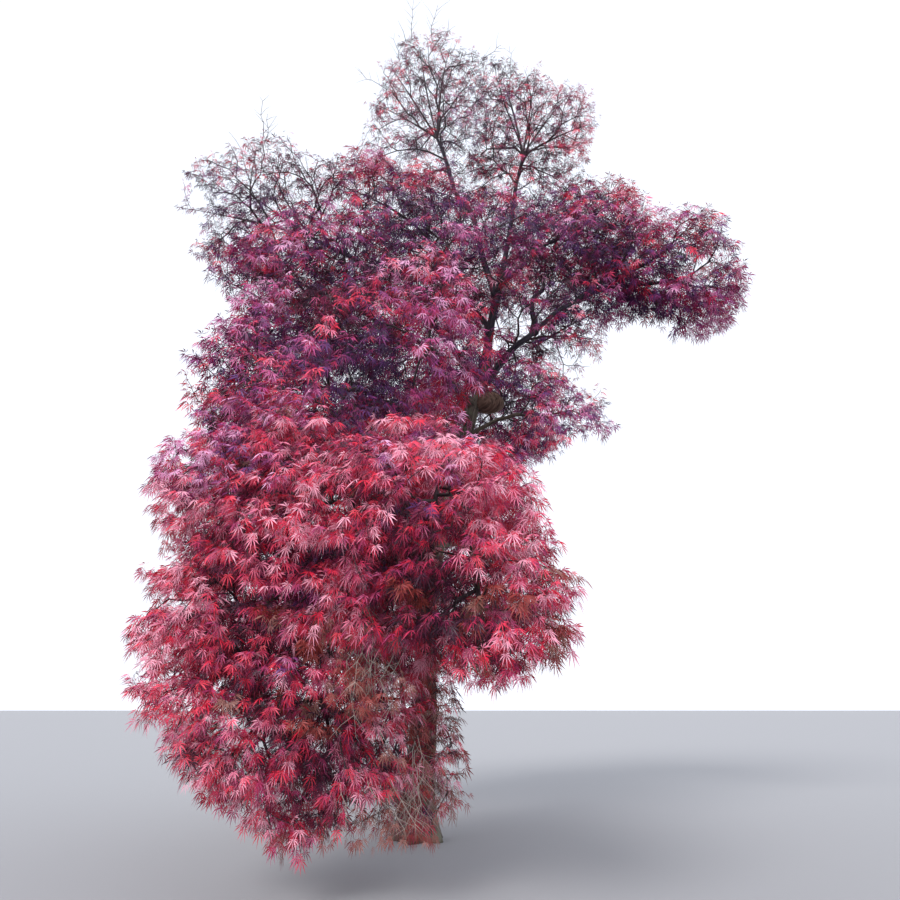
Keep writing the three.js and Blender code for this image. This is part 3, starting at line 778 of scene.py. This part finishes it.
def add_bough(row, index):
    curve = curves[row.name]
    parent_radius = curves[row.parent].radii([row.at])[0]

    def radius_at(shares, angles, lengths):
        radius = curve.radii(shares)
        out = np.maximum(lengths - parent_radius, 0)
        collar = 1 + COLLAR * np.exp(-out / COLLAR_LENGTH)
        relief = FISSURE_SHARE * fissures(angles, lengths, BOUGH_TURNS, index)
        relief += LUMP_SHARE * lumps(angles, lengths, index)
        return np.maximum(radius * (collar + relief), BOUGH_TIP_RADIUS)

    bark = HIGH_BARK if row.height > HIGH_BARK_FROM else BARK
    mesh = limb_mesh("bark_" + row.name, curve, BOUGH_RING, BOUGH_SIDES, radius_at, bark)
    add_piece(mesh, "bark", "bough_" + row.name)


KNOT_SWELL = 0.14  # how deep its slow swellings go, as a share of its size
KNOT_PITS = 0.05


def add_knot():
    """The rounded burr: a ball with swirls and pits."""
    shape = bmesh.new()
    bmesh.ops.create_icosphere(shape, subdivisions=4, radius=1)
    layer = shape.loops.layers.uv.new("bark")
    swell = Field(0.55, seed=5)
    pits = Field(0.16, seed=6)
    for face in shape.faces:
        for loop in face.loops:
            way = loop.vert.co
            loop[layer].uv = ((way.x + way.y) * KNOT_HALF[0],
                              (way.z + 0.5 * way.y) * KNOT_HALF[2] * KNOT_GRAIN)
    for vertex in shape.verts:
        way = np.array(vertex.co)
        relief = 1 - KNOT_SWELL + KNOT_SWELL * swell(way[None])[0] + KNOT_PITS * pits(way[None])[0]
        vertex.co = KNOT_MIDDLE + way * KNOT_HALF * min(relief, 1.0)
    mesh = bpy.data.meshes.new("knot")
    shape.to_mesh(mesh)
    shape.free()
    mesh.materials.append(KNOT_BARK)
    mesh.shade_smooth()
    add_piece(mesh, "bark", "trunk_knot")


# Twigs

def twig_path(start, middle, end, rng):
    """The nodes of a bent twig, a little out of line."""
    length = norm(end - start)
    count = LONG_NODES if length > LONG_TWIG else SHORT_NODES
    path = bezier(start, middle, end, np.linspace(0, 1, count))
    path[1:-1] += rng.normal(0, TWIG_CROOK * length, (count - 2, 3))
    return path


class Growth:
    """The twigs of one mass, as rows of nodes. Twig 0 is the stem."""

    def __init__(self, row, space, bough, rng):
        self.row = row
        self.space = space
        self.rng = rng
        self.paths = []
        self.parents = []
        self.wood = np.empty((0, 3))
        self.headings = np.empty((0, 3))
        self.ways = np.empty(0)
        self.borne = np.empty(0)
        self.owners = []
        tips = space.points(TIPS_TRIED, rng)
        inside = fullness(tips) > 1 + SKIN_RELIEF * skin_field(tips) ** 2
        tips = tips[inside & (open_field(tips) > row.open)]
        tips = np.concatenate([tips, self.fringe(bough)])
        self.tips = tips[~in_clearing(tips)]
        self.far = norm(self.tips - bough.tip, axis=1)
        self.add_stem(bough)
        self.add_bough_nodes(bough)

    def fringe(self, bough):
        """Tips beside the bough, which its own side twigs reach."""
        count = int(self.row.beside * bough.length)
        along = bough.points(self.rng.uniform(BOUGH_FORK, 1, count))
        leaning = FRINGE_LEAN * self.row.weep * UP
        ways = unit(self.rng.normal(size=(count, 3)) * FRINGE_SPREAD - leaning)
        farthest = np.where(ways[:, 2] > 0, self.row.fringe, HANGING_FRINGE)
        tips = along + ways * self.rng.uniform(FRINGE_FROM, farthest)[:, None]
        return tips[(tips[:, 2] > FRINGE_LOWEST) & clear_of_limbs(tips)]

    def add_wood(self, nodes, headings, ways, owners):
        """Places where twigs may start, with their directions and the ways that lead there."""
        self.wood = np.concatenate([self.wood, nodes])
        self.headings = np.concatenate([self.headings, headings])
        self.ways = np.concatenate([self.ways, ways])
        self.borne = np.concatenate([self.borne, np.zeros(len(nodes))])
        self.owners += owners

    def add_path(self, path, parent, way):
        owners = [(len(self.paths), node) for node in range(1, len(path) - 1)]
        self.paths.append(path)
        self.parents.append(parent)
        steps = norm(np.diff(path, axis=0), axis=1)
        nodes = path[1:-1]
        self.add_wood(nodes, unit(path[2:] - path[:-2]), way + np.cumsum(steps)[:-1], owners)
        reached = np.concatenate([nodes, (path[1:] + path[:-1]) / 2, path[-1:]])
        apart = norm(self.tips[:, None] - reached[None], axis=2).min(axis=1)
        self.far = np.minimum(self.far, apart)

    def add_stem(self, bough):
        """From the bough's tip to the farthest tip that it reaches clear of other limbs."""
        start = bough.tip
        heading = unit(np.diff(bough.points([0.99, 1]), axis=0)[0])
        shares = np.linspace(0, 1, STEM_NODES)
        for number in np.argsort(-self.far):
            end = self.tips[number] + STEM_SHORT * (start - self.tips[number])
            bend = start + heading * STEM_BEND * norm(end - start)
            path = bezier(start, bend, end, shares)
            if clear_of_limbs(path[STEM_ON_BOUGH:]).all():
                break
        self.add_path(path, (-1, 0), 0.0)
        for fork in self.row.forks:
            end = self.space.middle + self.space.half * fork
            bend = (start + end) / 2 + FORK_BEND * norm(end - start) * heading
            self.add_path(bezier(start, bend, end, shares), (-1, 0), 0.0)

    def add_bough_nodes(self, bough):
        """Places on the bough's outer part, too."""
        shares = np.arange(1, BOUGH_FORK, -BOUGH_NODE_STEP / bough.length)[::-1]
        nodes = bough.points(shares)
        count = len(nodes)
        self.add_wood(nodes, unit(np.gradient(nodes, axis=0)), np.zeros(count), [(-1, 0)] * count)

    def grow(self, gap):
        """Twigs, one by one, to the open tip that is farthest from all that has grown."""
        while True:
            number = np.argmax(self.far)
            if self.far[number] < gap:
                return
            self.far[number] = 0
            target = self.tips[number]
            cost = norm(self.wood - target, axis=1) + WINDING * self.ways + CROWDING * self.borne
            nearest = np.argmin(cost)
            start = self.wood[nearest]
            length = norm(target - start)
            heading = unit(TWIG_HEADING * self.headings[nearest] + unit(target - start))
            middle = start + heading * 0.5 * length + UP * TWIG_RISE * length
            path = twig_path(start, middle, target, self.rng)
            off_bough = 1 if self.ways[nearest] > 0 else len(path) // 2
            if path[:, 2].min() < GROUND_ROOM or not clear_of_limbs(path[off_bough:]).all():
                continue
            self.borne[nearest] += 1
            self.add_path(path, self.owners[nearest], self.ways[nearest])

    def loads(self):
        """How many tips each node of each twig carries."""
        loads = [np.ones(len(path)) for path in self.paths]
        for number in range(len(self.paths) - 1, 0, -1):
            parent, node = self.parents[number]
            if parent >= 0:
                loads[parent][:node + 1] += loads[number][0]
        return loads


def twig_radii(loads, stout):
    """Radii along a twig from how many tips its nodes carry, halved at its own tip."""
    radii = stout * TWIG_TIP_RADIUS * loads ** TWIG_LOAD_POWER
    radii[-1] = 0.5 * TWIG_TIP_RADIUS
    return np.minimum(radii, BOUGH_TIP_RADIUS)


def twig_meshes(paths, radii):
    """Vertices and triangles of twigs of several lengths, joined."""
    vertices = []
    faces = []
    count = 0
    for nodes in sorted({len(path) for path in paths}):
        some = [pair for pair in zip(paths, radii) if len(pair[0]) == nodes]
        some_vertices, some_faces = tubes(*(np.array(values) for values in zip(*some)))
        vertices.append(some_vertices)
        faces.append(some_faces + count)
        count += len(some_vertices)
    return np.concatenate(vertices), np.concatenate(faces)


def tubes(paths, radii):
    """Vertices and triangles of slim tubes along rows of nodes, each closed at its tip."""
    count, nodes, _ = paths.shape
    along = unit(np.gradient(paths, axis=1))
    across = across_of(along[:, :1]) * np.ones_like(along)
    across = unit(across - (across * along).sum(axis=2, keepdims=True) * along)
    raised = np.cross(across, along)
    angles = np.arange(TWIG_SIDES) * 2 * math.pi / TWIG_SIDES
    ring = np.cos(angles)[:, None] * across[:, :, None]
    ring += np.sin(angles)[:, None] * raised[:, :, None]
    vertices = (paths[:, :, None] + radii[:, :, None, None] * ring).reshape(-1, 3)
    cap = (nodes - 1) * TWIG_SIDES + np.arange(TWIG_SIDES)
    one = np.concatenate([tube_walls(nodes, TWIG_SIDES), cap[None]])
    faces = (one[None] + (np.arange(count) * nodes * TWIG_SIDES)[:, None, None]).reshape(-1, 3)
    return vertices, faces


# Leaves

def leaf_template(half_lobes, width):
    """One leaf in its own plane, one unit long, with a slim stalk: its points and triangles.

    A point is how far along and across it is from the blade's root, with -1 at the stalk's end.
    Each lobe is a triangle that bellies out on its far side.
    """
    points = [(0.0, 0.0, 0.0), (0.0, STALK_HALF, -1.0), (0.0, -STALK_HALF, -1.0)]
    faces = [(0, 1, 2)]
    lobes = half_lobes[:1] + [(side * angle, length)
                              for angle, length in half_lobes[1:] for side in (1, -1)]
    for degrees, length in lobes:
        angle = math.radians(degrees)
        forward = np.array([math.cos(angle), math.sin(angle)])
        sideways = np.array([-forward[1], forward[0]]) * (width if degrees >= 0 else -width)
        belly = forward * LOBE_BELLY * length + sideways
        first = len(points)
        points += [(*belly, 0.0), (*(forward * length), 0.0)]
        faces.append((0, first + 1, first) if degrees >= 0 else (0, first, first + 1))
    return np.array(points), np.array(faces)


LEAF_SHAPE = leaf_template(LOBES, LOBE_WIDTH)
NEAR_LEAF_SHAPE = leaf_template(NEAR_LOBES, NEAR_LOBE_WIDTH)


def leaf_shapes(template, roots, nodes, axes, normals, sizes):
    """Vertices and triangles of leaves. Blades droop towards their lobes' tips."""
    points, triangles = template
    across = unit(np.cross(normals, axes))
    flat = points[:, :2]
    out = (flat ** 2).sum(axis=1)
    blade = flat[:, 0, None] * axes[:, None] + flat[:, 1, None] * across[:, None]
    blade *= sizes[:, None, None]
    droop = UP * (LOBE_DROOP * out)[:, None] * sizes[:, None, None]
    vertices = roots[:, None] + blade - droop
    stalk = points[:, 2] < 0
    vertices[:, stalk] += (nodes - roots)[:, None]
    faces = triangles[None] + (np.arange(len(roots)) * len(points))[:, None, None]
    return vertices.reshape(-1, 3), faces.reshape(-1, 3)


def leaf_nodes(path, leafy, step):
    """Places along a twig that bear leaves, from its tip back, with the twig's direction."""
    steps = np.diff(path, axis=0)
    lengths = norm(steps, axis=1)
    from_tip = np.concatenate([np.cumsum(lengths[::-1])[::-1], [0]])
    ways = np.arange(0, min(leafy, LEAFY_SHARE * from_tip[0]), step)
    places = np.stack([np.interp(ways, from_tip[::-1], path[::-1, k]) for k in range(3)], axis=1)
    segment = np.clip(np.searchsorted(-from_tip, -ways, side="left") - 1, 0, len(steps) - 1)
    return places, unit(steps[segment])


def deal_tint(places, lit, row, rng):
    """The tint of each twig's leaves: clusters of like tints, with painted shade that makes them
    darker inside a mass.
    """
    lot = CLUSTERED * tint_field(places) + (1 - CLUSTERED) * rng.random(len(places)) + row.tone
    # Painted shade: the tints go darker where a tip is deep inside, and stay paler, as painted
    # light, near the outside
    lot += SHADING * (1 - lit)
    tints = np.searchsorted(np.cumsum(TINT_SHARES)[:-1], np.clip(lot, 0, 1))
    warm_share = np.interp(places[:, 2], WARM_HEIGHTS, WARM_SHARES)
    warm = 0.5 * (warm_field(places) + rng.random(len(places))) < warm_share
    tints = tints + len(COOL_TINTS) * warm
    dry = rng.random(len(places)) < row.dry
    tints[dry] = np.where(rng.random(dry.sum()) < BRICK_SHARE, BRICK, WITHERED)
    return tints


def strayed(tints, steps, rng):
    """Tints some steps lighter or darker, of the same kind."""
    kinds = len(COOL_TINTS)
    kind, step = np.divmod(tints, kinds)
    step = np.clip(step + rng.integers(-steps, steps + 1, len(tints)), 0, kinds - 1)
    return np.where(tints < BRICK, kind * kinds + step, tints)


def bare_twigs(row, space, growth, rng):
    """Shoots that stand out of a mass and strands that hang from it, each with its sprigs.

    Gives their nodes, their radii and whether they hang.
    """
    low = np.array(cad_box[0]) - PAST_SOLIDS
    low[2] = STRAND_LOWEST
    high = np.array(cad_box[1]) + PAST_SOLIDS
    ways_out = unit(growth.wood - space.middle)
    shares = space.share(growth.wood)
    outer = (shares > OUTER_WOOD) & (nearness(growth.wood) > 0.5)
    found = []

    def add(start, way, length, bow, radius, hangs):
        end = np.clip(start + length * way, low, high)
        middle = (start + end) / 2 + bow * norm(end - start)
        path = twig_path(start, middle, end, rng)
        found.append((path, np.linspace(radius, BARE_TIP * radius, len(path)), hangs))
        return path

    def add_with_sprigs(start, way, length, bow, radius, hangs, drop):
        path = add(start, way, length, bow, radius, hangs)
        across = across_of(way)
        raised = np.cross(across, way)
        for node in path[1:-1]:
            for side in (-1, 1):
                if rng.random() < SPRIG_LOSS:
                    continue
                turn = rng.uniform(-SPRIG_TURN, SPRIG_TURN)
                sideways = side * (math.cos(turn) * across + math.sin(turn) * raised)
                heading = unit(SPRIG_ALONG * way + sideways - drop * UP)
                add(node, heading, rng.uniform(*SPRIG_LENGTH), SPRIG_BOW * UP,
                    SPRIG_RADIUS * radius, hangs)

    rising = np.flatnonzero(outer & (ways_out[:, 2] > SHOOTS_FROM))
    for number in rng.choice(rising, min(row.shoots, len(rising)), replace=False):
        way = unit(ways_out[number] + SHOOT_LIFT * UP + SHOOT_STRAY * rng.normal(size=3))
        bow = SHOOT_BOW * rng.normal(size=3) - SHOOT_SAG * UP
        length = rng.uniform(*SHOOT_LENGTH)
        add_with_sprigs(growth.wood[number], way, length, bow, SHOOT_RADIUS, False, SHOOT_DROP)

    hanging = outer & (shares > STRAND_WOOD) & (ways_out[:, 1:] < STRANDS_TO).all(axis=1)
    if row.near:
        hanging &= norm(growth.wood[:, :2] - CURTAIN, axis=1) < CURTAIN_REACH
    hanging = np.flatnonzero(hanging)
    for number in rng.choice(hanging, min(row.strands, len(hanging)), replace=False):
        out = ways_out[number] * [1, 1, 0]
        way = unit(STRAND_OUT * out - UP + STRAND_STRAY * rng.normal(size=3))
        add_with_sprigs(growth.wood[number], way, rng.uniform(*STRAND_LENGTH),
                        STRAND_BOW * out, STRAND_RADIUS, True, STRAND_DROP)
    return found


def leaf_places(paths, leafy, step):
    """Places of leaves on all twigs, with the twig's direction there and its number."""
    found = [leaf_nodes(path, length, step) for path, length in zip(paths, leafy)]
    places = np.concatenate([where for where, _ in found])
    alongs = np.concatenate([along for _, along in found])
    return places, alongs, np.repeat(np.arange(len(paths)), [len(where) for where, _ in found])


def paired_leaves(places, alongs, row, space, rng):
    """A pair of leaves at each place: their nodes, roots, axes, normals and sizes."""
    nodes = np.repeat(places, 2, axis=0)
    along = np.repeat(alongs, 2, axis=0)
    count = len(nodes)
    across = across_of(along)
    raised = np.cross(across, along)
    turn = rng.normal(0, LEAF_TURN, count)
    sideways = np.cos(turn)[:, None] * across + np.sin(turn)[:, None] * raised
    sideways *= np.tile([1.0, -1.0], len(places))[:, None]
    spread = np.radians(rng.uniform(*LEAF_SPREAD, count))
    out = np.cos(spread)[:, None] * along + np.sin(spread)[:, None] * sideways
    stalk = STALK * rng.uniform(*STALK_LENGTHS, count)
    roots = nodes + stalk[:, None] * unit(out + STALK_RISE * UP)
    droop = rng.uniform(*LEAF_DROOP, count)
    droop += WEEP_DROOP * row.weep * rng.uniform(*WEEP_SHARES, count)
    axes = unit(out - droop[:, None] * UP)
    outward = unit(roots - space.middle)
    facing = FACE_UP * UP + FACE_OUT * outward + FACE_STRAY * rng.normal(size=(count, 3))
    normals = unit(facing - (facing * axes).sum(axis=1, keepdims=True) * axes)
    sizes = LEAF_LENGTH * row.leaf * rng.uniform(*LEAF_SIZES, count)
    if row.near:
        sizes *= NEAR_LEAF
    return nodes, roots, axes, normals, sizes


def add_foliage(row, index):
    """The twigs and the leaves of one mass."""
    rng = np.random.default_rng(index + 1)
    space = spaces[row.name]
    growth = Growth(row, space, curves[row.name], rng)
    growth.grow(NEAR_GAP if row.near else row.gap)
    paths = growth.paths
    radii = [twig_radii(load, row.stout) for load in growth.loads()]
    tips = np.array([path[-1] for path in paths])
    # How open each twig's tip is to the crown's outside, which sets its leaves' painted light and
    # painted shade
    lit = (nearness(tips) + nearness(tips, SHADE_DEPTH)) / 2
    tints = list(deal_tint(tips, lit, row, rng))
    leafy = [LEAFY_LENGTH] * len(paths)
    living = len(paths)
    for path, radius, hangs in bare_twigs(row, space, growth, rng):
        paths.append(path)
        radii.append(radius)
        tints.append(WITHERED if rng.random() < 0.5 else BRICK)
        leafy.append(LEAF_STEP / 2 if hangs and rng.random() < STRAND_LEAVES else 0)

    step = NEAR_LEAF_STEP if row.near else LEAF_STEP
    places, alongs, owners = leaf_places(paths, leafy, step)
    nodes, roots, axes, normals, sizes = paired_leaves(places, alongs, row, space, rng)
    owner = np.repeat(owners, 2)
    sizes[owner >= living] *= STRAND_LEAF
    kept = clear_of_limbs(roots) & ~in_clearing(roots) & (roots[:, 2] - sizes > GROUND_ROOM)
    kept &= rng.random(len(roots)) > row.bare
    nodes, roots, axes, normals, sizes, owner = (
        values[kept] for values in (nodes, roots, axes, normals, sizes, owner))

    leaf_tints = strayed(np.array(tints)[owner], NEAR_STRAY if row.near else STRAY, rng)
    template = NEAR_LEAF_SHAPE if row.near else LEAF_SHAPE
    vertices, faces = leaf_shapes(template, roots, nodes, axes, normals, sizes)
    material_of = np.repeat(leaf_tints, len(template[1]))
    leaves = make_mesh("leaves_" + row.name, vertices, faces, LEAF_MATERIALS, material_of)
    add_piece(leaves, "foliage")

    vertices, faces = twig_meshes(paths[:living], radii[:living])
    bare_from = len(faces)
    if len(paths) > living:
        bare_vertices, bare_faces = twig_meshes(paths[living:], radii[living:])
        faces = np.concatenate([faces, bare_faces + len(vertices)])
        vertices = np.concatenate([vertices, bare_vertices])
    pale = (np.arange(len(faces)) >= bare_from) & (row.strands > 0)
    barks = [TWIG_BARK, BARE_TWIG_BARK]
    twigs = make_mesh("twigs_" + row.name, vertices, faces, barks, material_of=pale)
    add_piece(twigs, "bark", "foliage_" + row.name)


# The stage

FLOOR_HALF = 500
SUN_TURN = (56, -10, -22)
CAMERA_PLACE = (0.25, -6.0, 0.95)
CAMERA_PITCH = 21
CAMERA_LENS = 27


def add_floor():
    corners = [(x * FLOOR_HALF, y * FLOOR_HALF, 0)
               for x, y in [(-1, -1), (1, -1), (1, 1), (-1, 1)]]
    material = plain_material("floor", (0.60, 0.60, 0.61), roughness=0.9)
    add_object("floor", make_mesh("floor", corners, [(0, 1, 2, 3)], [material]))


def add_light():
    world = bpy.data.worlds.new("studio")
    world.use_nodes = True
    sky = world.node_tree.nodes["Background"]
    sky.inputs["Color"].default_value = (0.87, 0.91, 1.0, 1)
    sky.inputs["Strength"].default_value = 1.22
    bpy.context.scene.world = world
    lamp = bpy.data.lights.new("key", "SUN")
    lamp.energy = 3.0
    lamp.angle = math.radians(25)
    lamp.color = (1.0, 0.98, 0.97)
    add_object("key", lamp).rotation_euler = [math.radians(turn) for turn in SUN_TURN]


def add_camera():
    camera = bpy.data.cameras.new("camera")
    camera.lens = CAMERA_LENS
    camera.sensor_width = 36
    camera.clip_end = 2000
    viewer = add_object("camera", camera)
    viewer.location = CAMERA_PLACE
    viewer.rotation_euler = (math.radians(90 + CAMERA_PITCH), 0, 0)
    bpy.context.scene.camera = viewer
    bpy.context.scene.view_settings.view_transform = "Standard"


add_camera()
add_light()
add_floor()
add_trunk()
add_knot()
for index, row in enumerate(CROWN):
    add_bough(row, index)
    add_foliage(row, index)
